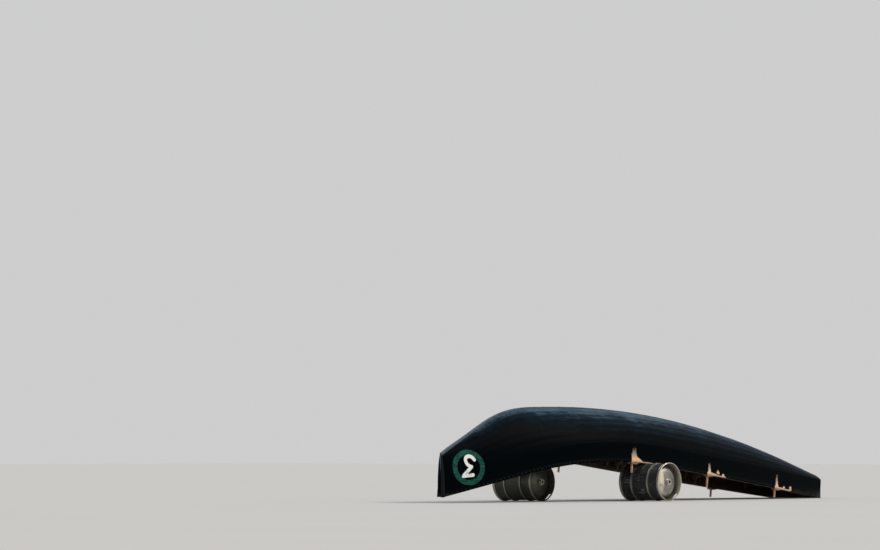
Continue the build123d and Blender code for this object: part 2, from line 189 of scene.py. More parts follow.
@labelled
class KegSettings(PropertyGroup):
    body_step: length(0.011, "How far the body lies inside the rims")
    rim_weld: length(0.077, "Distance of a rim's weld from the end of the keg")
    rim_wall: length(0.0131, "From a rim's outer face to its inner one")
    dome_crown: length(0.030, "Depth of the domed end's crown below the rim")
    dome_foot: length(0.100, "Depth of the domed end's foot below the rim")
    bead: length(0.0022, "Thickness of a weld bead")
    valve_core: length(0.016, "Radius of the valve's dark core")
    smooth_to: angle(radians(28), "Angle from which an edge stays sharp")
    steel: colour((0.72, 0.67, 0.58), "Clean stainless steel of the rims and ends")
    # The body's near black is weathered steel and partly a painted shade from the hull above
    body: colour((0.030, 0.036, 0.034), "Weathered steel between the rims")
    # A painted highlight in a pale limescale colour on the bow side of the domes
    limed: colour((0.88, 0.76, 0.61), "Pale limescale dried on one side of the domes")
    grime: colour((0.055, 0.048, 0.032), "Salt, rust and dirt on the steel")
    # The older keg's dark olive is tarnish and partly a painted shade, as if under the hull
    tarnish: colour((0.030, 0.034, 0.017), "Olive tarnish of the older keg")


@labelled
class FasteningSettings(PropertyGroup):
    tack_spacing: length(0.055, "Distance between the tacks along the hem")
    tack_width: length(0.009, "Width of a tack's head")
    tack_height: length(0.0022, "Height of a tack's or a nail's head")
    screw_spacing: length(0.24, "Distance between the screws of the keel strip")
    screw_width: length(0.011, "Width of a screw's head")
    screw_height: length(0.0018, "Height of a screw's head")
    nail_width: length(0.008, "Width of the nail heads inside the ribs")
    bolt_width: length(0.015, "Width of the bolt heads in pads and thwarts")
    bolt_height: length(0.004, "Height of the bolt heads in pads and thwarts")
    unevenness: strength(0.12, "Share by which heads differ in size")
    seed: whole(3, "Seed of the uneven heads")
    copper: colour((0.42, 0.20, 0.11), "Copper nails inside the boat")
    iron: colour((0.035, 0.036, 0.036), "Galvanised tacks and screws, tarred over")


@labelled
class StageSettings(PropertyGroup):
    floor_size: length(400.0, "Width of the floor")
    floor: colour((0.60, 0.585, 0.56), "Colour of the floor")
    sky: colour((0.74, 0.78, 0.84), "Light from overhead")
    horizon: colour((0.68, 0.68, 0.68), "Light from the sides")
    key: colour((1.0, 0.94, 0.84), "Light of the key lamp")
    sky_strength: strength(0.9, "Strength of the sky")
    key_strength: strength(1.6, "Strength of the soft key lamp")
    key_softness: angle(radians(18), "Width of the key lamp")


SETTINGS = {
    "canvas": CanvasSettings,
    "mark": MarkSettings,
    "wear": WearSettings,
    "timber": TimberSettings,
    "keg": KegSettings,
    "fastening": FasteningSettings,
    "stage": StageSettings,
}


# Nodes written as expressions


def arithmetic(operation, swapped=False):
    """An arithmetic method that adds a Math node. It is swapped where its value stands on the right."""

    def method(value, *other):
        sides = (*other, value) if swapped else (value, *other)
        return value.graph.maths(operation, *sides)

    return method


class Value:
    """A number that varies over a surface: a socket with arithmetic that adds its Math nodes."""

    __add__ = arithmetic("ADD")
    __sub__ = arithmetic("SUBTRACT")
    __mul__ = arithmetic("MULTIPLY")
    __truediv__ = arithmetic("DIVIDE")
    __pow__ = arithmetic("POWER")
    __abs__ = arithmetic("ABSOLUTE")
    __gt__ = arithmetic("GREATER_THAN")
    __and__ = arithmetic("MINIMUM")
    __or__ = arithmetic("MAXIMUM")
    __radd__ = arithmetic("ADD", swapped=True)
    __rsub__ = arithmetic("SUBTRACT", swapped=True)
    __rmul__ = arithmetic("MULTIPLY", swapped=True)

    def __init__(self, graph, socket):
        self.graph = graph
        self.socket = socket

    def rising(self, low, high):
        """0 up to low, 1 from high, and smooth between them. With low over high it falls."""
        sockets = {"Value": self, "From Min": low, "From Max": high}
        return self.graph.add("ShaderNodeMapRange", sockets, interpolation_type="SMOOTHSTEP")


class Graph:
    """A node tree that is written in a few kinds of call."""

    def __init__(self, tree):
        self.tree = tree

    def add(self, kind, sockets=(), output=0, **settings):
        """A node of this type, with its settings and then the values or links of its sockets."""
        node = self.tree.nodes.new(kind)
        for name, value in settings.items():
            setattr(node, name, value)
        for name, value in dict(sockets).items():
            if isinstance(value, Value):
                self.tree.links.new(value.socket, node.inputs[name])
            else:
                node.inputs[name].default_value = value
        return Value(self, node.outputs[output]) if node.outputs else None

    def maths(self, operation, *values):
        """A Math node."""
        return self.add("ShaderNodeMath", dict(enumerate(values)), operation=operation)

    def vector(self, operation, *values, output=0):
        """A Vector Math node."""
        return self.add("ShaderNodeVectorMath", dict(enumerate(values)), output, operation=operation)

    def part(self, vector, axis):
        """One coordinate of a vector."""
        return self.add("ShaderNodeSeparateXYZ", {0: vector}, output="xyz".index(axis))

    def mix(self, under, over, amount):
        """The colour under, covered by the colour over in this amount."""
        under, over = [side if isinstance(side, Value) else (*side, 1.0) for side in (under, over)]
        return self.add("ShaderNodeMix", {0: amount, 6: under, 7: over}, output=2, data_type="RGBA")


class Surface(Graph):
    """A material that is written as expressions over a piece's surface."""

    def __init__(self, name):
        self.material = bpy.data.materials.new(name)
        self.material.use_nodes = True
        super().__init__(self.material.node_tree)
        self.tree.nodes.clear()

    def attribute(self, name):
        """A number that the piece's own mesh carries."""
        return self.add("ShaderNodeAttribute", output=2, attribute_name=name)

    def facing(self, axis):
        """How far the surface faces along an axis, from -1 to 1."""
        return self.part(self.add("ShaderNodeNewGeometry", output=1), axis)

    def coordinates(self, scale=(1, 1, 1), turn=(0, 0, 0), centre=(0, 0, 0)):
        """Object coordinates that are moved, turned and then stretched."""
        moved = self.vector("SUBTRACT", self.add("ShaderNodeTexCoord", output=3), centre)
        turned = self.add("ShaderNodeMapping", {"Vector": moved, "Rotation": turn})
        return self.vector("MULTIPLY", turned, scale)

    def noise(self, scale, coordinates, detail=3.0, roughness=0.55, distortion=0.0):
        """Noise from 0 to 1."""
        sockets = {"Vector": coordinates, "Scale": scale, "Detail": detail, "Roughness": roughness}
        return self.add("ShaderNodeTexNoise", {**sockets, "Distortion": distortion})

    def weave(self, coordinates, scale, axes):
        """Height of a cloth's threads, which run across these two axes."""
        sockets = {"Vector": coordinates, "Scale": scale}
        warp, weft = [
            self.add("ShaderNodeTexWave", sockets, output=1, bands_direction=axis) for axis in axes
        ]
        return warp + weft

    def bump(self, height, distance, amount):
        """A bump of this height, in metres at height 1."""
        return self.add("ShaderNodeBump", {"Height": height, "Distance": distance, "Strength": amount})

    def finished(self, sockets):
        """The material, once its shader has these values and links."""
        shader = self.add("ShaderNodeBsdfPrincipled", sockets)
        self.add("ShaderNodeOutputMaterial", {"Surface": shader})
        return self.material


def shade(colour_setting, share):
    """A colour at this share of its brightness."""
    return tuple(part * share for part in colour_setting)


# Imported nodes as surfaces


class Faces:
    """The surface of some nodes in the boat's own frame, to measure and to set fastenings on."""

    def __init__(self, *names):
        shell = bmesh.new()
        for name in names:
            shell.from_mesh(node_mesh(name))
        shell.transform(to_boat)
        self.tree = BVHTree.FromBMesh(shell)
        axes = list(zip(*[vertex.co for vertex in shell.verts]))
        self.low = Vector([min(axis) for axis in axes])
        self.high = Vector([max(axis) for axis in axes])
        shell.free()

    def met(self, start, direction):
        """Where a ray first meets the nodes, or nothing."""
        return self.tree.ray_cast(Vector(start), direction)[0]

    def struck(self, start, direction):
        """Where a ray first meets the nodes and how they face there, as a line of one point, or no line."""
        place, facing, face, reach = self.tree.ray_cast(Vector(start), direction)
        return [[(place, facing)]] if place else []


def smooth_line(values):
    """A natural cubic spline through evenly spaced values, as a function of u from 0 to 1."""
    spans = len(values) - 1
    bends = np.zeros(spans + 1)
    beside = np.ones(spans - 2)
    system = np.diag(np.full(spans - 1, 4.0)) + np.diag(beside, 1) + np.diag(beside, -1)
    bends[1:-1] = np.linalg.solve(system, 6 * np.diff(values, 2))

    def line(u):
        place = min(max(u, 0), 1) * spans
        span = min(int(place), spans - 1)
        right = place - span
        left = 1 - right
        straight = left * values[span] + right * values[span + 1]
        return straight + ((left**3 - left) * bends[span] + (right**3 - right) * bends[span + 1]) / 6

    return line


def border_between(low, high, is_high, halvings=20):
    """The last value that isn't high and the first that is, closed in on from both sides."""
    for halving in range(halvings):
        middle = (low + high) / 2
        if is_high(middle):
            high = middle
        else:
            low = middle
    return low, high


class Hull:
    """The canvas's outer face as a smooth form in the boat's own frame.

    A place on it is two numbers: u runs from 0 at the transom to 1 at the stem, and turn from 0 at the
    starboard gunwale's edge over the knuckles at 1 and 2 to the port edge at 3.
    """

    stations = 33
    amidships = 0.47
    knuckle_angle = radians(20)

    # How strongly the lean of the stations gathers at the bow
    lean_power = 6

    # How far the measuring rays lie inside an edge, below the stem's top and below the keel
    just_inside = 0.001
    stem_places = (0.4, 0.05)
    edge_under_keel = (1.5, 0.05)

    def __init__(self, side_height):
        self.side_height = side_height
        self.canvas = Faces(*CANVAS_NODES)
        self.length = self.canvas.high.x

        stem_top = self.keel_by_ray(self.length)
        low, high = [
            self.canvas.met((OUTSIDE, self.just_inside / 2, stem_top - drop), AFT)
            for drop in self.stem_places
        ]
        self.rake = (high.x - low.x) / (high.z - low.z)
        shares = [n / (self.stations - 1) for n in range(self.stations)]
        self.keel = smooth_line([self.keel_by_ray(u * self.length) for u in shares])
        self.edge = smooth_line([self.edge_by_rays(u) for u in shares])
        self.half_width, self.knuckle = [
            smooth_line([self.side_by_ray(u, self.edge(u) + rise).y for u in shares])
            for rise in (self.just_inside, side_height)
        ]

    def keel_by_ray(self, x):
        x = min(max(x, self.just_inside), self.length - self.just_inside)
        return self.canvas.met((x, self.just_inside / 2, OUTSIDE), DOWN).z

    def side_by_ray(self, u, z):
        x = self.along(u, z)
        x += self.just_inside * (1 - 2 * u)
        return self.canvas.met((x, OUTSIDE, z), PORT)

    def edge_by_rays(self, u):
        """The height of the gunwale's edge."""
        open_below, canvas_above = [self.keel(u) - drop for drop in self.edge_under_keel]
        return border_between(open_below, canvas_above, lambda z: self.side_by_ray(u, z))[1]

    def along(self, u, z):
        """Where station u is at height z. The stations lean over to the stem's rake near the bow."""
        return u * self.length - self.rake * u**self.lean_power * (self.keel(u) - z)

    def u_at(self, x):
        """The station of the gunwale's edge at x."""
        return border_between(0, 1, lambda u: self.along(u, self.edge(u)) >= x)[0]

    def turn_at(self, rise):
        """The starboard turn at this height over the gunwale's edge, up to the knuckle."""
        return rise / self.side_height

    def point(self, u, turn):
        """A place of the outer face."""
        keel, edge, half_width, knuckle = self.keel(u), self.edge(u), self.half_width(u), self.knuckle(u)
        if 1 < turn < 2:
            around = self.knuckle_angle + (turn - 1) * (pi - 2 * self.knuckle_angle)
            height = (keel - edge - self.side_height) / (1 - sin(self.knuckle_angle))
            y = knuckle / cos(self.knuckle_angle) * cos(around)
            z = keel + height * (sin(around) - 1)
        else:
            climb, side = (turn, 1) if turn <= 1 else (3 - turn, -1)
            y = side * (half_width + climb * (knuckle - half_width))
            z = edge + climb * self.side_height
        return Vector((self.along(u, z), y, z))

    def normal(self, u, turn, step=0.002):
        """The outward direction at a place."""
        over = self.point(u, turn + step) - self.point(u, turn - step)
        fore = self.point(u + step, turn) - self.point(u - step, turn)
        return over.cross(fore).normalized()

    def over(self, u, turn, height):
        """A place this far outside the outer face, or inside it where the height is negative."""
        return self.point(u, turn) + self.normal(u, turn) * height

    def girth(self, steps=60):
        """Distance over the outer face amidships, from gunwale to gunwale."""
        line = [self.point(self.amidships, 1.5 - 1.5 * n / steps) for n in range(steps + 1)]
        return 2 * sum((other - one).length for one, other in zip(line, line[1:]))


# Meshes


def loose(name, data, *materials):
    """An object that isn't a finished piece yet."""
    made = bpy.data.objects.new(name, data)
    bpy.context.scene.collection.objects.link(made)
    for material in materials:
        data.materials.append(material)
    return made


def settle(piece, slot, *replaced):
    """Makes this a finished piece of the part's one body, in place of some nodes. The slot is not used."""
    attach(piece, "root")
    if replaced:
        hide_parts(*replaced)


def applied(piece):
    """The piece with its modifiers made part of its mesh."""
    graph = bpy.context.evaluated_depsgraph_get()
    mesh = bpy.data.meshes.new_from_object(
        piece.evaluated_get(graph), preserve_all_data_layers=True, depsgraph=graph
    )
    piece.modifiers.clear()
    piece.data = mesh
    return piece


def finished_mesh(shell, name):
    """The shell as a mesh of this name."""
    mesh = bpy.data.meshes.new(name)
    shell.to_mesh(mesh)
    shell.free()
    return mesh


def smooth_step(value, low, high):
    """0 up to low, 1 from high, and smooth between them."""
    part = min(max((value - low) / (high - low), 0), 1)
    return part * part * (3 - 2 * part)


class CanvasSkin:
    """The stretched canvas as a grid over the hull, closed at its stern and stem, with no thickness yet."""

    # Rows along the hull, the closer rows at each end as shares of its length, and columns over each lath
    rows, end_rows = 260, (0.0006, 0.002)
    columns_for_lath = 8

    # Heights of the side's columns over the gunwale's edge, above the hem
    side_rises = (0.05, 0.075, 0.1, 0.125, 0.15, 0.175, 0.195)

    # Height and fineness of the canvas's slight unevenness
    wander, wander_scale = 0.0007, 2.3

    # Share of a lath's spacing that the canvas lies on, and the half width from which it sags fully
    lath_share = 0.3
    full_sag_width = 0.5
    rib_spacing, first_rib, rib_sag = 0.3, 0.31, 0.0007

    # Shares of the hem's width where it folds and ends, and the innermost ring of an end that has a hem
    hem_fold, hem_end, closing_hem = 0.94, 0.97, 0.92

    # Heights over the gunwale's edge between which the side lies back
    hollow_from, hollow_middle, hollow_to = 0.045, 0.1, 0.16

    # Rings that close the two ends, as shares of the border's size
    transom_rings = (0.985, 0.93, 0.915, 0.7, 0.45, 0.2, 0)
    stem_rings = (0.5, 0)
    weld_distance = 0.00005

    def __init__(self, hull, settings):
        self.hull = hull
        self.settings = settings

    def turns(self):
        """The columns of the grid."""
        hem = self.settings.hem_width
        rises = [0, hem / 2, hem * self.hem_fold, hem, *self.side_rises, self.settings.side_height]
        starboard = [self.hull.turn_at(rise) for rise in rises]
        over_keel = self.settings.lath_count * self.columns_for_lath
        middle = [1 + n / over_keel for n in range(1, over_keel)]
        return starboard + middle + [3 - turn for turn in reversed(starboard)]

    def relief(self, u, turn):
        """How far the canvas stands out of the plain form."""
        at = self.hull.point(u, turn)
        height = self.wander * noise.noise(at * self.wander_scale)
        if 1 < turn < 2:
            laths = (turn - 1) * self.settings.lath_count
            off_lath = abs(laths % 1 - 0.5) * 2
            room = min(self.hull.knuckle(u) / self.full_sag_width, 1)
            height -= self.settings.sag * room * smooth_step(off_lath, self.lath_share, 1)
            height -= self.rib_sag * room * sin(pi * (at.x - self.first_rib) / self.rib_spacing) ** 2
            return height
        rise = min(turn, 3 - turn) * self.settings.side_height
        if rise < self.settings.hem_width * self.hem_end:
            return height + self.settings.hem_height
        rising = smooth_step(rise, self.hollow_from, self.hollow_middle)
        falling = smooth_step(rise, self.hollow_to, self.hollow_middle)
        return height - self.settings.side_sag * rising * falling

    def build(self):
        """The skin's mesh and its area."""
        skin = bmesh.new()
        layers = {name: skin.verts.layers.float.new(name) for name in ("along", "rise", "girth")}
        turns = self.turns()
        fore_rows = [1 - row for row in reversed(self.end_rows)]
        stations = [0, *self.end_rows, *(n / self.rows for n in range(1, self.rows)), *fore_rows, 1]
        grid = []
        for u in stations:
            row = [skin.verts.new(self.hull.over(u, turn, self.relief(u, turn))) for turn in turns]
            girths = [0.0]
            for one, other in zip(row, row[1:]):
                girths.append(girths[-1] + (other.co - one.co).length)
            for vertex, girth in zip(row, girths):
                vertex[layers["along"]] = vertex.co.x
                vertex[layers["rise"]] = vertex.co.z - self.hull.edge(u)
                vertex[layers["girth"]] = girths[-1] / 2 - girth
            grid.append(row)
        for one, other in zip(grid, grid[1:]):
            self.join(skin, one, other)
        self.close(skin, layers, grid[0], self.transom_rings, AFT)
        self.close(skin, layers, grid[-1], self.stem_rings, Vector((0, 0, 0)))
        bmesh.ops.remove_doubles(skin, verts=skin.verts, dist=self.weld_distance)
        bmesh.ops.recalc_face_normals(skin, faces=skin.faces)
        highest = max(skin.faces, key=lambda face: face.calc_center_median().z)
        if highest.normal.z < 0:
            bmesh.ops.reverse_faces(skin, faces=skin.faces)
        for face in skin.faces:
            face.smooth = True
        area = sum(face.calc_area() for face in skin.faces)
        skin.transform(to_row)
        return finished_mesh(skin, "canvas_skin"), area

    def join(self, skin, one, other):
        """A strip of faces between two rows of vertices."""
        for a, b, c, d in zip(one, one[1:], other[1:], other):
            skin.faces.new((a, b, c, d))

    def close(self, skin, layers, border, rings, outward):
        """Closes an end with rings that shrink to its lower edge's middle, with a hem along its border."""
        middle = (border[0].co + border[-1].co) / 2
        outer = border
        for ring in rings:
            lift = outward * self.settings.hem_height * (1 if ring > self.closing_hem else 0)
            row = []
            for vertex in border:
                made = skin.verts.new(middle + (vertex.co - middle) * ring + lift)
                made[layers["along"]] = vertex[layers["along"]]
                made[layers["rise"]] = made.co.z - middle.z
                made[layers["girth"]] = made.co.y
                row.append(made)
            self.join(skin, outer, row)
            outer = row


# Finishes


# The number's brush line in half heights, to the bow and down from the mark's middle: its round bowl from
# its open end to its waist, and then its straight foot
NUMBER_BOWL = ((-0.54, -0.73), (-0.18, -0.98), (0.27, -0.88), (0.34, -0.52), (0.10, -0.20), (-0.26, -0.07))
NUMBER_FOOT = ((0.52, 0.82), (-0.48, 0.62))

# What the oars have rubbed behind each thole pin, from the foremost pin aft. A spot is its distance behind
# the pin and its height
Rub = namedtuple("Rub", "streak_width streak_height foot_height foot_length spots")
RUBS = (
    Rub(0.066, 0.185, 0.090, 0.17, ()),
    Rub(0.040, 0.160, 0.034, 0.36, ((0.17, 0.075), (0.27, 0.045))),
    Rub(0.042, 0.180, 0.030, 0.34, ((0.16, 0.050), (0.31, 0.065))),
)

# Where the wear of a streak ends and where it is full: its top in shares of its height, and its sides in
# shares of its half width, which grows by the last number down to its foot
STREAK_TOP, STREAK_SIDES, FOOT_SPREAD = (1.15, 0.3), (1.35, 0.5), 0.7

# The same for the rubbed edge: its top in shares of its height, its start as distances behind the pin, and
# its end in shares of its length
EDGE_TOP, EDGE_START, EDGE_END = (1.35, 0.6), (-0.05, -0.02), (1, 0.75)

# The same for a spot, in squares of its size, and how worn a spot is
SPOT_BORDER, SPOT_WEAR = (1.7, 0.1), 0.66

# How each grain squeezes the wood's coordinates
GRAIN = {"forward": (0.05, 1, 1), "athwart": (1, 0.05, 1), "upright": (1, 1, 0.05)}

# Distances behind the stem at which the painted highlight along the keel strip's ridge starts and is full
RIDGE_START, RIDGE_FULL = 0.95, 0.6

# Height over the ground up to which sand has splashed
SPLASH_HEIGHT = 0.12

STITCH_SPACING = 0.009

# Scales of the threads in the canvas's outer and inner faces
OUTER_WEAVE, INNER_WEAVE = 260.0, 160.0

# How far the brush wavers along a stroke, and how far the ring's middle line swells
BRUSH_WAVER, RING_SWELLING = 0.006, 0.014

# Places between which the domes' painted highlight ends and their painted shade starts, from a keg's axis and
# negative towards the bow, and their waver
HIGHLIGHT_END, HIGHLIGHT_WAVER = (-0.085, -0.045), 0.06

# How far inside a keg's widest radius the painted highlight on its rims and hoop crests starts and is full
BRIGHT_EDGE = (0.004, 0.0015)

# The turn next to the knuckle where the side's slope is measured for the mark
NEXT_TO_KNUCKLE = 0.99


def rounded(points, pieces=3):
    """A smooth line through the points, in this many pieces from one to the next."""
    across, down = [smooth_line(values) for values in zip(*points)]
    count = (len(points) - 1) * pieces
    return tuple((across(n / count), down(n / count)) for n in range(count + 1))


def stroke_distance(p, q, start, end):
    """Distance from the point p, q to a straight stroke."""
    across, up = end[0] - start[0], end[1] - start[1]
    reach = ((p - start[0]) * across + (q - start[1]) * up) / (across**2 + up**2)
    reach = (reach & 1.0) | 0.0
    return ((p - start[0] - reach * across) ** 2 + (q - start[1] - reach * up) ** 2) ** 0.5


def mark_axes(hull, mark):
    """The mark's middle, its direction to the bow and its direction to the gunwale, in the row frame."""
    u = hull.u_at(hull.length - mark.from_stem)
    outward = hull.normal(u, NEXT_TO_KNUCKLE)
    down = DOWN + outward * outward.z
    down.normalize()
    middle = hull.point(u, 1) - down * mark.over_knuckle
    turned = to_row.to_3x3()
    return to_row @ middle, turned @ down.cross(outward), turned @ down


def seam_stations():
    """The boat's own x of each seam between two widths of canvas."""
    fore_ends = {
        round(max((to_boat @ vertex.co).x for vertex in node_mesh(name).vertices), 3)
        for name in CANVAS_NODES
    }
    return sorted(fore_ends)[:-1]


def pin_stations():
    """The boat's own x of each thole pin on one side."""
    starboard = [mount for mount in pin_mounts if mount["name"].startswith("starboard")]
    return [(to_boat @ Vector(mount["pos_m"])).x for mount in starboard]


def on_stroke(distance, width, beyond, within):
    """0 off a stroke and 1 on it, with an edge that reaches this far beyond its width and within it."""
    return distance.rising(width / 2 + beyond, width / 2 - within)


def painted_mark(graph, hull, mark, place, wobble):
    """Masks of the ring and of the number on the starboard bow, seen square to the canvas there."""
    middle, fore, down = mark_axes(hull, mark)
    off_middle = graph.vector("SUBTRACT", place, middle)
    p, q = [wobble + graph.vector("DOT_PRODUCT", off_middle, axis, output=1) for axis in (fore, down)]
    round_q = q * (mark.ring_width / mark.ring_height)
    middle_radius = (mark.ring_width - mark.ring_stroke) / 2
    swelling = graph.noise(13, place, detail=4) - 0.5
    ring = abs((p**2 + round_q**2) ** 0.5 - middle_radius + swelling * RING_SWELLING)
    tall = mark.number_height / 2
    line = [(across * tall, down * tall) for across, down in rounded(NUMBER_BOWL) + NUMBER_FOOT]
    strokes = [stroke_distance(p, q, start, end) for start, end in zip(line, line[1:])]
    number = reduce(and_, strokes)
    ring_mask = on_stroke(ring, mark.ring_stroke, beyond=0.002, within=0.003)
    return ring_mask, on_stroke(number, mark.number_stroke, beyond=0.0015, within=0.0025)


def worn_by_oars(wear, along, rise):
    """How worn the canvas is by the oars, from 0 to 1, behind each thole pin and on both sides."""
    places = []
    for station, rub in zip(sorted(pin_stations(), reverse=True), RUBS):
        behind = station - along
        foot = (1 - rise / rub.streak_height) ** 3
        aside = abs(behind - wear.streak_behind_pin) / (rub.streak_width / 2 * (1 + foot * FOOT_SPREAD))
        below_top = rise.rising(*(rub.streak_height * share for share in STREAK_TOP))
        line = ((1 - behind / rub.foot_length) * rub.foot_height) | wear.rub_height
        edge = (rise / line).rising(*EDGE_TOP) * behind.rising(*EDGE_START)
        edge = edge * behind.rising(*(wear.rub_length * share for share in EDGE_END))
        places += [aside.rising(*STREAK_SIDES) * below_top, edge]
        for at, height in rub.spots:
            beside, above = (behind - at) / (wear.spot_width / 2), (rise - height / 2) / (height / 2)
            places.append((beside**2 + above**2).rising(*SPOT_BORDER) * SPOT_WEAR)
    return reduce(or_, places)


def seams(graph, seam_width, along, girth):
    """Height of the sewn laps, with two rows of stitches, over the thwarts."""
    half, soft_edge = seam_width / 2, 0.002
    stitched = abs(graph.maths("FRACT", girth / STITCH_SPACING) - 0.5).rising(0.4, 0.25)
    laps = []
    for station in seam_stations():
        off = abs(along - station)
        stitch = abs(off - half * 0.6).rising(0.0022, 0.001) * stitched
        laps.append(off.rising(half + soft_edge, half - soft_edge) - stitch * 0.5)
    return reduce(or_, laps)


def tarred_canvas(settings, hull):
    """Tar that has bleached and gathered sand, with a painted sky sheen on its upward faces, the painted mark
    and the wear of the oars.
    """
    canvas, paint, wear = settings.canvas, settings.mark, settings.wear
    graph = Surface("tarred_canvas")
    place = graph.coordinates()
    strokes = graph.noise(60, graph.coordinates(scale=(0.12, 1, 1)), detail=5)
    cloud = graph.noise(2.2, place, detail=4)
    fine = graph.noise(260, place, detail=2)
    blot = graph.noise(9, place, detail=6, roughness=0.65)
    wobble = (graph.noise(40, place) - 0.5) * BRUSH_WAVER
    ragged = graph.noise(70, place, detail=5, roughness=0.7) - 0.5
    along, rise, girth = [graph.attribute(name) for name in ("along", "rise", "girth")]

    # Upward faces grow lighter and bluer: bleached tar together with a painted sheen of the sky
    up = graph.facing("z")
    exposed_and_lit = up + ((cloud - 0.5) * 0.3 + (strokes - 0.5) * 0.26 + (blot - 0.5) * 0.14)
    # A painted highlight along the ridge beside the keel strip, near the bow
    on_fore_end = along.rising(hull.length - RIDGE_START, hull.length - RIDGE_FULL)
    ridge = abs(girth).rising(canvas.ridge_highlight_width / 2, canvas.ridge_highlight_width / 5)
    ridge = ridge * on_fore_end * up.rising(0.05, 0.25)
    bleached_and_sheen = exposed_and_lit.rising(0.79, 1.04) | (ridge * (0.7 + blot * 0.6))
    tarred = graph.mix(canvas.tar, canvas.dry_tar_and_sheen, exposed_and_lit.rising(0.45, 0.96))
    tarred = graph.mix(tarred, canvas.bleached_tar_and_sheen, bleached_and_sheen)

    settled_sand = up.rising(0.6, 1) * (blot + fine * 0.25).rising(0.62, 0.8) * 0.035
    splashed = graph.part(place, "z").rising(SPLASH_HEIGHT, 0.0)
    splashed = splashed * (blot + fine * 0.3).rising(0.5, 0.8) * 0.22
    sand = settled_sand | splashed
    sandy = graph.mix(tarred, canvas.sand, sand)

    chipped = (blot * 0.5 + ragged * 0.6 + 0.25).rising(0.36, 0.42)
    on_starboard = girth > 0
    masks = painted_mark(graph, hull, paint, place, wobble)
    ring, number = [mask * on_starboard * chipped for mask in masks]
    thin = (strokes + blot * 0.5).rising(0.62, 0.9)
    ring_paint = graph.mix(paint.ring_paint, shade(paint.ring_paint, 0.45), thin)
    painted = graph.mix(sandy, ring_paint, ring)
    painted = graph.mix(painted, paint.number_paint, number)

    worn = worn_by_oars(wear, along, rise)
    frayed = worn + (ragged * 1.9 + (blot - 0.5) * 0.7) * worn.rising(0, 0.3)
    rubbed = frayed.rising(0.44, 0.62)
    stained = graph.mix(painted, wear.rubbed_edge, frayed.rising(0.30, 0.46) * 0.7)
    bare = graph.mix(wear.rubbed, wear.bare_cloth, blot.rising(0.42, 0.6))
    bare = graph.mix(bare, wear.faded_cloth, rise.rising(0.035, 0.11) * 0.9)
    bare = graph.mix(bare, wear.rubbed_edge, (fine * 0.7 + strokes * 0.5).rising(0.6, 0.85) * 0.5)

    gloss = (strokes * 0.6 + cloud * 0.4).rising(0.46, 0.66) * up.rising(0.6, 0.95)
    threads = graph.weave(place, OUTER_WEAVE, "XZ")
    relief = strokes * 0.5 + blot * 0.6 + threads * 0.05 + fine * 0.08
    relief = relief + (ring | number) * 0.35 + seams(graph, canvas.seam_width, along, girth) * 0.9
    return graph.finished({
        "Base Color": graph.mix(stained, bare, rubbed),
        "Roughness": 0.38 + bleached_and_sheen * 0.14 + strokes * 0.08 + sand * 0.3 + rubbed * 0.2 + number * 0.1,
        "Specular IOR Level": 0.01,
        "Coat Weight": gloss * 0.12,
        "Coat Roughness": 0.28,
        "Normal": graph.bump(relief, 0.0012, 0.5),
    })


def canvas_inside(canvas):
    """The cloth's inner face, with tar soaked through."""
    graph = Surface("canvas_inside")
    place = graph.coordinates()
    soaked = graph.noise(5, place, detail=6, roughness=0.65).rising(0.42, 0.62)
    return graph.finished({
        "Base Color": graph.mix(canvas.inside, canvas.tar, soaked * 0.75),
        "Roughness": 0.85 - soaked * 0.3,
        "Normal": graph.bump(graph.weave(place, INNER_WEAVE, "XY"), 0.0006, 0.5),
    })


def timber(settings, wood):
    """A kind of wood, with its grain along one of the boat's axes."""
    light, dark = [getattr(settings, wood.tone + side) for side in ("_light", "_dark")]
    tilt = forward.xz.angle_signed(Vector((-1, 0)))
    graph = Surface(wood.name)
    place = graph.coordinates(scale=GRAIN[wood.grain], turn=(0, tilt, 0))
    rings = graph.noise(24, place, detail=4, distortion=1.2)
    fibre = graph.noise(190, place, detail=3)
    weather = graph.noise(3.5, graph.coordinates(), detail=4)
    late_wood = graph.maths("FRACT", rings * 7).rising(0.25, 0.95)
    darker = (late_wood * 0.55 + fibre * 0.35 + weather * 0.25).rising(0.2, 0.95)
    aged = weather.rising(0.56, 0.8) * 0.6
    return graph.finished({
        "Base Color": graph.mix(graph.mix(light, dark, darker), shade(dark, 0.35), aged),
        "Roughness": wood.roughness + fibre * 0.2 - late_wood * 0.08,
        "Specular IOR Level": 0.4,
        "Normal": graph.bump(fibre * 0.5 + late_wood * 0.6, 0.0007, 0.6),
    })


def worn_strip(name, tar, bare_strip, worn):
    """Tarred wood whose crown has worn bare, in this share. The bare colour is partly a painted sheen of the
    sky.
    """
    graph = Surface(name)
    fibre = graph.noise(150, graph.coordinates(scale=(0.06, 1, 1)), detail=4)
    blot = graph.noise(14, graph.coordinates(), detail=6, roughness=0.7)
    bare = (graph.facing("z").rising(-0.5, 0.6) * 0.4 + blot * 0.9 + fibre * 0.3).rising(0.4, 0.9)
    wood = graph.mix(bare_strip, shade(bare_strip, 0.4), fibre)
    return graph.finished({
        "Base Color": graph.mix(tar, wood, bare * worn),
        "Roughness": 0.42 + bare * 0.2 + fibre * 0.1,
        "Specular IOR Level": 0.08,
        "Normal": graph.bump(fibre - bare * 0.6, 0.0008, 0.6),
    })


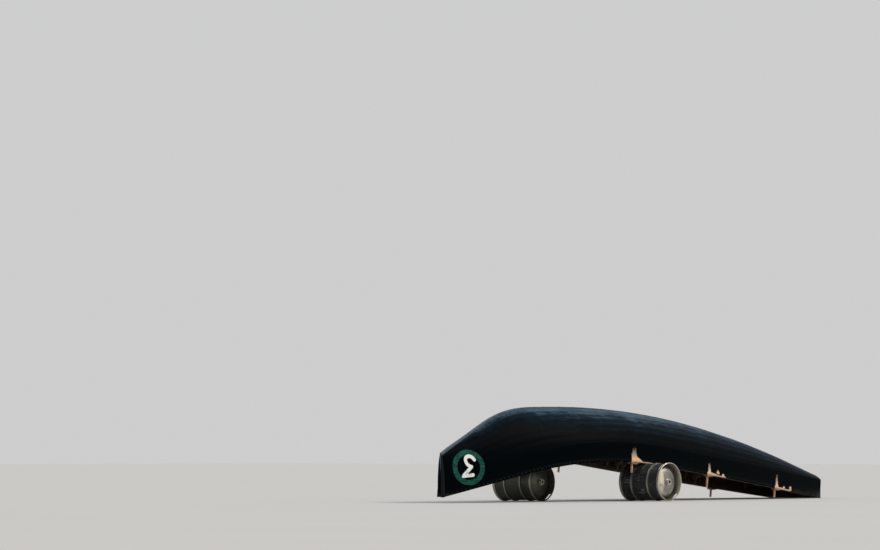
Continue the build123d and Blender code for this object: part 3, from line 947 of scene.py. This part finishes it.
def keg_steel(keg, name, centre, size, tarnished_and_shaded):
    """Brushed steel about an axis along Y: dark outside with weathering and a painted shade, and bright on
    its edges and in its ends, with painted highlights on its rim crests and on the bow side of each dome.
    """
    rim_radius = size.z / 2
    graph = Surface(name)
    place = graph.coordinates(centre=centre)
    x, y, z = [graph.part(place, axis) for axis in "xyz"]
    radius = (x**2 + z**2) ** 0.5
    outside = ((graph.facing("x") * x + graph.facing("z") * z) / radius).rising(0.2, 0.5)
    brushing = graph.noise(700, graph.add("ShaderNodeCombineXYZ", {0: radius, 1: y}), detail=2)
    blot = graph.noise(11, place, detail=6, roughness=0.65)
    scratch = graph.noise(60, graph.coordinates(scale=(1, 0.08, 1)), detail=5, roughness=0.8)
    from_end = size.y / 2 - abs(y)
    # Painted highlight: the rims and hoop crests keep bright clean steel, joined below with the real bright
    # scratches
    crest_highlight = radius.rising(*(rim_radius - inside for inside in BRIGHT_EDGE))
    worn = crest_highlight | ((blot * 0.4 + scratch).rising(0.78, 0.86) * 0.6)
    skirt = outside * from_end.rising(0.002, 0.006)
    # Painted shade: the body between the rims is darkened as if under the hull, over real weathering
    weathered_and_shaded = skirt * (1 - worn * 0.75)
    inside_rim = (1 - outside) * from_end.rising(0.012, 0.1)
    inner_radius = rim_radius - keg.rim_wall
    dome = (1 - outside) * radius.rising(inner_radius, inner_radius - 0.02)
    low = z.rising(-0.3 * size.z, -0.5 * size.z)
    dirt = blot + low * 0.25 + inside_rim * 0.12
    grime = (dirt.rising(0.52, 0.78) * 0.8) | (scratch.rising(0.66, 0.72) * 0.3)
    # Painted light on each dome: a highlight on its bow side and a painted shade on its stern side
    shaded_side = (x + (blot - 0.5) * HIGHLIGHT_WAVER).rising(*HIGHLIGHT_END)
    stained = dome * (0.08 + shaded_side * 0.5)
    limed = dome * (1 - shaded_side) * (1 - tarnished_and_shaded)
    metal = graph.mix(keg.steel, keg.body, weathered_and_shaded | stained)
    metal = graph.mix(metal, keg.limed, limed * 0.7)
    metal = graph.mix(metal, keg.tarnish, tarnished_and_shaded * (1 - crest_highlight * 0.6 * skirt))
    return graph.finished({
        "Base Color": graph.mix(metal, keg.grime, grime * (1 - crest_highlight * 0.7)),
        "Metallic": (1 - grime * 0.5 - weathered_and_shaded * 0.45 - limed * 0.6) * (1 - tarnished_and_shaded * 0.5),
        "Roughness": 0.26 + brushing * 0.12 + grime * 0.3 + weathered_and_shaded * 0.12,
        "Normal": graph.bump(brushing * 0.12 + scratch * 0.5 + blot * 0.5, 0.0008, 0.35),
    })


def valve_steel(keg, name, centre):
    """The valve's steel neck with its dark core, about an axis along Y."""
    graph = Surface(name)
    place = graph.coordinates(centre=centre)
    radius = (graph.part(place, "x") ** 2 + graph.part(place, "z") ** 2) ** 0.5
    spots = graph.noise(90, place, detail=4).rising(0.45, 0.7)
    core = radius.rising(keg.valve_core + 0.001, keg.valve_core - 0.001)
    neck = graph.mix(keg.steel, keg.grime, spots * 0.7)
    return graph.finished({
        "Base Color": graph.mix(neck, shade(keg.grime, 0.3), core),
        "Metallic": 1 - core * 0.7 - spots * 0.3,
        "Roughness": 0.32 + spots * 0.3,
    })


def fastener_metal(name, clean, metallic):
    """Small metal fastenings with a little corrosion."""
    graph = Surface(name)
    spots = graph.noise(420, graph.coordinates(), detail=4).rising(0.45, 0.7)
    return graph.finished({
        "Base Color": graph.mix(clean, shade(clean, 0.3), spots),
        "Metallic": metallic - spots * 0.5,
        "Roughness": 0.38 + spots * 0.3,
    })


def floor_paint(pale):
    """A pale floor with a trace of unevenness."""
    graph = Surface("floor")
    grain = graph.noise(0.4, graph.coordinates(), detail=2)
    return graph.finished({
        "Base Color": graph.mix(pale, shade(pale, 0.985), grain.rising(0.3, 0.7)),
        "Roughness": 0.9,
        "Specular IOR Level": 0.1,
    })


# Fastenings as Geometry Nodes


def fastener_tree():
    """Heads along a line at a spacing, or on the line's own points where the spacing is 0."""
    tree = bpy.data.node_groups.new("Fastener Heads", "GeometryNodeTree")
    inputs = {
        "Line": "Geometry",
        "Material": "Material",
        "Spacing": "Float",
        "Head Width": "Float",
        "Head Height": "Float",
        "Unevenness": "Float",
        "Seed": "Int",
    }
    for name, kind in inputs.items():
        tree.interface.new_socket(name, in_out="INPUT", socket_type="NodeSocket" + kind)
    tree.interface.new_socket("Heads", in_out="OUTPUT", socket_type="NodeSocketGeometry")

    graph = Graph(tree)
    given = tree.nodes.new("NodeGroupInput").outputs
    line, material, spacing, width, height, unevenness, seed = [
        Value(graph, given[name]) for name in inputs
    ]
    curve = graph.add("GeometryNodeMeshToCurve", {"Mesh": line})
    spaced = graph.add("GeometryNodeResampleCurve", {"Curve": curve, "Length": spacing}, mode="LENGTH")
    sides = {"Switch": spacing > 0, "False": line, "True": spaced}
    points = graph.add("GeometryNodeSwitch", sides, input_type="GEOMETRY")
    facing = graph.add("GeometryNodeInputNamedAttribute", {"Name": "facing"}, data_type="FLOAT_VECTOR")
    turned = graph.add("FunctionNodeAlignRotationToVector", {"Vector": facing}, axis="Z")
    ball = graph.add("GeometryNodeMeshUVSphere", {"Segments": 10, "Rings": 6, "Radius": 1.0})
    size = graph.add("ShaderNodeCombineXYZ", {"X": width / 2, "Y": width / 2, "Z": height})
    head = graph.add("GeometryNodeTransform", {"Geometry": ball, "Scale": size})
    sizes = {2: 1 - unevenness, 3: 1 + unevenness, "Seed": seed}
    uneven = graph.add("FunctionNodeRandomValue", sizes, output=1, data_type="FLOAT")
    placing = {"Points": points, "Instance": head, "Rotation": turned, "Scale": uneven}
    heads = graph.add("GeometryNodeInstanceOnPoints", placing)
    real = graph.add("GeometryNodeRealizeInstances", {"Geometry": heads})
    smooth = graph.add("GeometryNodeSetShadeSmooth", {"Geometry": real})
    finished = graph.add("GeometryNodeSetMaterial", {"Geometry": smooth, "Material": material})
    graph.add("NodeGroupOutput", {"Heads": finished})
    return tree


def line_mesh(name, lines):
    """Polylines in the row frame. A line is pairs of a place and the direction that a head faces there."""
    mesh = bpy.data.meshes.new(name)
    places, facings, edges = [], [], []
    for line in lines:
        start = len(places)
        edges += [(start + n, start + n + 1) for n in range(len(line) - 1)]
        places += [to_row @ place for place, facing in line]
        facings += [to_row.to_3x3() @ facing for place, facing in line]
    mesh.from_pydata(places, edges, [])
    attribute = mesh.attributes.new("facing", "FLOAT_VECTOR", "POINT")
    attribute.data.foreach_set("vector", [part for facing in facings for part in facing])
    return mesh


def hem_lines(hull, settings, steps=90, start=0.004, reach=0.989):
    """The middle of the hem along both gunwales."""
    turn = hull.turn_at(settings.hem_width / 2)
    stations = [start + reach * n / steps for n in range(steps + 1)]
    return [
        [(hull.over(u, side, settings.hem_height), hull.normal(u, side)) for u in stations]
        for side in (turn, 3 - turn)
    ]


def transom_lines(hull, settings, steps=60, end=0.12, inset=0.965):
    """A line inside the transom's border, from one gunwale over the keel to the other."""
    corners = [hull.point(0, end + (3 - 2 * end) * n / steps) for n in range(steps + 1)]
    places = [Vector((-settings.hem_height, corner.y * inset, corner.z * inset)) for corner in corners]
    return [[(place, AFT) for place in places]]


def strip_screws(hull, spacing, first=0.06, off_middle=0.008, from_ends=(0.03, 0.06), band_count=5):
    """Screws down the keel strip, to the left and right of its middle in turn, and down the stem band."""
    strip, band = Faces("keel_strip"), Faces("stem_band")
    lines = []
    for n in range(int(hull.length / spacing) + 1):
        aside = off_middle * (-1) ** n
        lines += strip.struck((first + n * spacing, aside, OUTSIDE), DOWN)
    bottom, top = hull.edge(1) + from_ends[0], hull.keel(1) - from_ends[1]
    for n in range(band_count):
        height = bottom + (top - bottom) * n / (band_count - 1)
        lines += band.struck((OUTSIDE, hull.just_inside, height), AFT)
    return lines


def pad_bolts(from_pin=(0.024, -0.05)):
    """Two bolts through each pad, before and behind its thole pin."""
    pads = Faces("thole_pads_starboard", "thole_pads_port")
    pins = [to_boat @ Vector(mount["pos_m"]) for mount in pin_mounts]
    spots = [(pin.x + along, pin.y, -OUTSIDE) for pin in pins for along in from_pin]
    return [line for spot in spots for line in pads.struck(spot, UP)]


def thwart_nails(share=0.55, from_end=0.035):
    """Two nails through each end of each thwart into its riser."""
    lines = []
    for name in nodes_with("thwart"):
        thwart = Faces(name)
        middle, half = (thwart.low + thwart.high) / 2, (thwart.high - thwart.low) / 2
        for side in (-1, 1):
            for along in (-share, share):
                spot = (middle.x + along * half.x, side * (half.y - from_end), -OUTSIDE)
                lines += thwart.struck(spot, UP)
    return lines


def rib_nails(hull, lath_count, over_edge=0.1, corrections=4):
    """A nail clenched through each rib at each lath."""
    ribs = Faces("ribs")
    lines = []
    count = int((ribs.high.x - CanvasSkin.first_rib) / CanvasSkin.rib_spacing) + 1
    for rib in range(count):
        x = CanvasSkin.first_rib + rib * CanvasSkin.rib_spacing
        for lath in range(lath_count):
            turn = 1 + (lath + 0.5) / lath_count
            u = x / hull.length
            for correction in range(corrections):
                u = min(u + (x - hull.point(u, turn).x) / hull.length, 1)
            start = Vector((x, 0, hull.edge(u) + over_edge))
            lines += ribs.struck(start, hull.point(u, turn) - start)
    return lines


# Kegs


def middle_and_size(name):
    """The middle and the size of a node's box."""
    low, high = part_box(name)
    return (low + high) / 2, high - low


def smoothed(name, sharp_from, reshape=None):
    """A node's own mesh, joined up, reshaped and shaded smooth, except over edges at least this sharp."""
    shell = bmesh.new()
    shell.from_mesh(node_mesh(name))
    bmesh.ops.remove_doubles(shell, verts=shell.verts, dist=0.00001)
    if reshape:
        reshape(shell)
    for face in shell.faces:
        face.smooth = True
    for edge in shell.edges:
        edge.smooth = edge.calc_face_angle(0) < sharp_from
    return finished_mesh(shell, name + "_shell")


class DomedEnds:
    """Sinks the flat ends of a keg's mesh and sets a dome into each, as deep as the real keg's."""

    # Depths below the rim between which the flat end lies, its deepest one, and its room under the dome
    end_band = (0.02, 0.06)
    flat_depth = 0.046
    below_dome = 0.008
    wall = 0.003
    rings, facets = 14, 96

    def __init__(self, name, settings):
        self.middle, size = middle_and_size(name)
        self.reach = size.y / 2
        self.radius = size.z / 2 - settings.rim_wall
        self.settings = settings

    def reshape(self, shell):
        sunk = self.settings.dome_foot + self.below_dome - self.flat_depth
        for vertex in shell.verts:
            off = vertex.co - self.middle
            depth = self.reach - abs(off.y)
            on_end = self.end_band[0] < depth < self.end_band[1]
            if on_end and (off.x**2 + off.z**2) ** 0.5 < self.radius:
                vertex.co.y -= sunk if off.y > 0 else -sunk
        for side in (-1, 1):
            self.add_dome(shell, side)

    def depth_at(self, share):
        """How deep the dome is at this share of its radius."""
        rise = self.settings.dome_foot - self.settings.dome_crown
        return self.settings.dome_foot - rise * sqrt(max(1 - share**2, 0))

    def add_dome(self, shell, side):
        """A dome with a wall, as circles from its crown to its foot and back on its inner face."""
        shares = [sin(pi / 2 * n / self.rings) for n in range(1, self.rings + 1)]
        outer = [(share * self.radius, self.depth_at(share)) for share in shares]
        inner = [
            (radius - self.wall * share, depth + self.wall) for (radius, depth), share in zip(outer, shares)
        ]
        circles = [self.circle(shell, side, *place) for place in outer + inner[::-1]]
        made = []
        for one, other in zip(circles, circles[1:]):
            for n in range(self.facets):
                after = (n + 1) % self.facets
                made.append(shell.faces.new((one[n], one[after], other[after], other[n])))
        made += [shell.faces.new(circles[0]), shell.faces.new(circles[-1])]
        bmesh.ops.recalc_face_normals(shell, faces=made)

    def circle(self, shell, side, radius, depth):
        """A ring of vertices about the keg's axis."""
        along = side * (self.reach - depth)
        turns = [2 * pi * n / self.facets for n in range(self.facets)]
        places = [self.middle + Vector((radius * cos(turn), along, radius * sin(turn))) for turn in turns]
        return [shell.verts.new(place) for place in places]


def add_bead(shell, middle, radius, thickness, facets=128, sides=8, tall=0.6, wide=1.6):
    """A weld bead round an axis along Y, uneven the way a weld is."""
    unevenness, ripple = 0.18, 40
    rings = []
    for n in range(facets):
        around = 2 * pi * n / facets
        outward = Vector((cos(around), 0, sin(around)))
        swell = thickness * (1 + unevenness * noise.noise(outward * ripple + middle))
        ring = []
        for side in range(sides):
            turn = 2 * pi * side / sides
            aside = Vector((0, swell * wide * sin(turn), 0))
            ring.append(shell.verts.new(middle + outward * (radius + swell * tall * cos(turn)) + aside))
        rings.append(ring)
    for ring, after in zip(rings, rings[1:] + rings[:1]):
        for side in range(sides):
            beyond = (side + 1) % sides
            face = shell.faces.new((ring[side], ring[beyond], after[beyond], after[side]))
            face.smooth = True


def weld_beads(name, settings):
    """The beads where the two rims and the two halves of the body are welded."""
    middle, size = middle_and_size(name)
    from_middle = size.y / 2 - settings.rim_weld
    radius = size.z / 2 - settings.body_step
    shell = bmesh.new()
    for along in (-from_middle, 0, from_middle):
        add_bead(shell, middle + Vector((0, along, 0)), radius, settings.bead)
    bmesh.ops.recalc_face_normals(shell, faces=shell.faces)
    return finished_mesh(shell, name + "_welds")


# Operators


class CURRACH_OT_canvas(Operator):
    """Stretches the tarred canvas over the frame, with its painted number and the marks of the oars"""

    bl_idname = "currach.canvas"
    bl_label = "Tarred Canvas"

    # Length of canvas that is turned over the hull's two ends
    turned_ends = 0.6

    def execute(self, context):
        settings = context.scene.currach
        hull = Hull(settings.canvas.side_height)
        mesh, area = CanvasSkin(hull, settings.canvas).build()
        faces = tarred_canvas(settings, hull), canvas_inside(settings.canvas)
        skin = loose("canvas_skin", mesh, *faces)
        wall = skin.modifiers.new("thickness", "SOLIDIFY")
        wall.thickness = settings.canvas.thickness
        wall.offset = -1
        wall.material_offset = 1
        settle(applied(skin), "tarred_canvas", *CANVAS_NODES)
        hull.girth()
        return {"FINISHED"}


# A kind of wood: its tone in the settings, the way of its grain, words in its nodes' names, roughness
Wood = namedtuple("Wood", "name tone grain words roughness", defaults=(0.6,))
WOODS = (
    Wood("lath_wood", "frame", "forward", ("laths",)),
    Wood("board_wood", "frame", "athwart", ("ribs", "transom", "footrests", "knees_", "thwart")),
    Wood("post_wood", "frame", "upright", ("stanchions", "stem_post")),
    Wood("rail_wood", "rail", "forward", ("gunwale", "inwale")),
    Wood("corner_wood", "rail", "athwart", ("breasthook", "quarter_knees")),
    Wood("pad_wood", "pad", "forward", ("thole_pads",)),
    Wood("pin_wood", "pin", "upright", ("thole_pins",), 0.42),
)


def give(node, material):
    """Puts a material in every slot of a node."""
    slots = node_mesh(node).materials
    if not slots:
        slots.append(material)
    for n in range(len(slots)):
        slots[n] = material


class CURRACH_OT_timber(Operator):
    """Gives each wooden node its wood, with the grain along it, and wears the keel strip bare"""

    bl_idname = "currach.timber"
    bl_label = "Timber"

    # Share of the tar that has worn off
    strip_worn, band_worn = 0.85, 0.04

    def execute(self, context):
        settings = context.scene.currach.timber
        for wood in WOODS:
            material = timber(settings, wood)
            for word in wood.words:
                for name in nodes_with(word):
                    give(name, material)
        colours = context.scene.currach.canvas.tar, settings.bare_strip
        give("keel_strip", worn_strip("worn_strip", *colours, self.strip_worn))
        give("stem_band", worn_strip("tarred_band", *colours, self.band_worn))
        return {"FINISHED"}


class CURRACH_OT_fastenings(Operator):
    """Sets tacks in the hem, screws in the keel strip, bolts in the pads, and nails in ribs and thwarts"""

    bl_idname = "currach.fastenings"
    bl_label = "Fastenings"

    def execute(self, context):
        settings = context.scene.currach
        size, canvas = settings.fastening, settings.canvas
        hull = Hull(canvas.side_height)
        iron = fastener_metal("tack_iron", size.iron, 0.5)
        copper = fastener_metal("nail_copper", size.copper, 1.0)

        # Heads: their metal, spacing, width and height. Without a spacing they sit on each point
        tack = iron, size.tack_spacing, size.tack_width, size.tack_height
        screw = iron, 0.0, size.screw_width, size.screw_height
        bolt = iron, 0.0, size.bolt_width, size.bolt_height
        copper_bolt = copper, *bolt[1:]
        nail = copper, 0.0, size.nail_width, size.tack_height

        rows = (
            ("hem_tacks", "tarred_canvas", tack, hem_lines(hull, canvas)),
            ("transom_tacks", "tarred_canvas", tack, transom_lines(hull, canvas)),
            ("strip_screws", "rubbing_wood", screw, strip_screws(hull, size.screw_spacing)),
            ("pad_bolts", "valve_steel", bolt, pad_bolts()),
            ("thwart_nails", "valve_steel", copper_bolt, thwart_nails()),
            ("rib_nails", "valve_steel", nail, rib_nails(hull, canvas.lath_count)),
        )
        tree = fastener_tree()
        inputs = [item for item in tree.interface.items_tree if item.in_out == "INPUT"]
        for name, slot, head, lines in rows:
            heads = loose(name, line_mesh(name, lines))
            modifier = heads.modifiers.new("heads", "NODES")
            modifier.node_group = tree
            for socket, value in zip(inputs[1:], (*head, size.unevenness, size.seed)):
                modifier[socket.identifier] = value
            settle(applied(heads), slot)
        return {"FINISHED"}


class CURRACH_OT_kegs(Operator):
    """Shapes the domed ends, welds and valves of the two steel kegs"""

    bl_idname = "currach.kegs"
    bl_label = "Kegs"

    # How far each keg has tarnished and is darkened by a painted shade, from 0 to 1
    tarnish = {"aft_keg": 0.0, "forward_keg": 0.88}

    def execute(self, context):
        keg = context.scene.currach.keg
        for name, tarnished_and_shaded in self.tarnish.items():
            middle, size = middle_and_size(name)
            steel = keg_steel(keg, name + "_steel", middle, size, tarnished_and_shaded)
            shape = smoothed(name, keg.smooth_to, DomedEnds(name, keg).reshape)
            settle(loose(name + "_shell", shape, steel), "keg_steel", name)
            settle(loose(name + "_welds", weld_beads(name, keg), steel), "keg_steel")
            neck = valve_steel(keg, name + "_valve_steel", middle)
            valve = loose(name + "_valve_shell", smoothed(name + "_valve", keg.smooth_to), neck)
            settle(valve, "valve_steel", name + "_valve")
        return {"FINISHED"}


class CURRACH_OT_stage(Operator):
    """Lays the floor, lights it and sets the camera"""

    bl_idname = "currach.stage"
    bl_label = "Stage"

    floor_drop = 0.0005

    # The camera's place from the boat's origin, its heading over the ground and how far up it looks
    camera_from_stern = (-32.2563, -22.886, 0.45)
    camera_heading = (0.7513, 0.6600)
    camera_pitch = radians(3.093)
    lens, sensor_width, view_reach = 139.1, 36, 1000

    # Where the key lamp shines from
    key_from = (6, -7, 8)

    def execute(self, context):
        scene, settings = context.scene, context.scene.currach.stage
        half = settings.floor_size / 2
        corners = [(x * half, y * half, 0) for x, y in ((-1, -1), (1, -1), (1, 1), (-1, 1))]
        mesh = bpy.data.meshes.new("floor")
        mesh.from_pydata(corners, [], [(0, 1, 2, 3)])
        floor = loose("floor", mesh, floor_paint(settings.floor))
        floor.location.z = -self.floor_drop

        scene.world = self.sky(settings)
        lamp = bpy.data.lights.new("key", "SUN")
        lamp.energy = settings.key_strength
        lamp.color = settings.key
        lamp.angle = settings.key_softness
        self.aim("key", lamp, self.key_from, -Vector(self.key_from))

        camera = bpy.data.cameras.new("camera")
        camera.sensor_width = self.sensor_width
        camera.lens = self.lens
        camera.clip_end = self.view_reach
        place = to_row.translation + Vector(self.camera_from_stern)
        scene.camera = self.aim("camera", camera, place, (*self.camera_heading, tan(self.camera_pitch)))
        scene.view_settings.view_transform = "Standard"
        return {"FINISHED"}

    def aim(self, name, data, place, direction):
        """A lamp or a camera at this place, aimed in this direction."""
        made = loose(name, data)
        made.location = place
        made.rotation_mode = "QUATERNION"
        made.rotation_quaternion = Vector(direction).to_track_quat("-Z", "Y")
        return made

    def sky(self, settings):
        """A sky that is pale all round and brighter overhead."""
        world = bpy.data.worlds.new("soft_sky")
        world.use_nodes = True
        world.node_tree.nodes.clear()
        graph = Graph(world.node_tree)
        up = graph.part(graph.add("ShaderNodeTexCoord", output=0), "z")
        light = graph.mix(settings.horizon, settings.sky, up.rising(0.05, 0.9))
        background = graph.add("ShaderNodeBackground", {"Color": light, "Strength": settings.sky_strength})
        graph.add("ShaderNodeOutputWorld", {"Surface": background})
        return world


PIECES = (CURRACH_OT_canvas, CURRACH_OT_timber, CURRACH_OT_fastenings, CURRACH_OT_kegs, CURRACH_OT_stage)


class CurrachSettings(PropertyGroup):
    """All settings of the currach"""


class CURRACH_PT_pieces(Panel):
    """Lists the currach's pieces"""

    bl_label = "Currach"
    bl_space_type = "VIEW_3D"
    bl_region_type = "UI"
    bl_category = "Currach"

    def draw(self, context):
        for piece in PIECES:
            self.layout.operator(piece.bl_idname)


for group_name, group in SETTINGS.items():
    CurrachSettings.__annotations__[group_name] = PointerProperty(type=group)

CLASSES = (*SETTINGS.values(), CurrachSettings, *PIECES, CURRACH_PT_pieces)


def register():
    for made in CLASSES:
        bpy.utils.register_class(made)
    bpy.types.Scene.currach = PointerProperty(type=CurrachSettings)


def unregister():
    del bpy.types.Scene.currach
    for made in reversed(CLASSES):
        bpy.utils.unregister_class(made)


def main():
    """Builds every piece in order."""
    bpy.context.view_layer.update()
    register()
    bpy.ops.currach.canvas()
    bpy.ops.currach.timber()
    bpy.ops.currach.fastenings()
    bpy.ops.currach.kegs()
    bpy.ops.currach.stage()


if __name__ == "__main__":
    main()
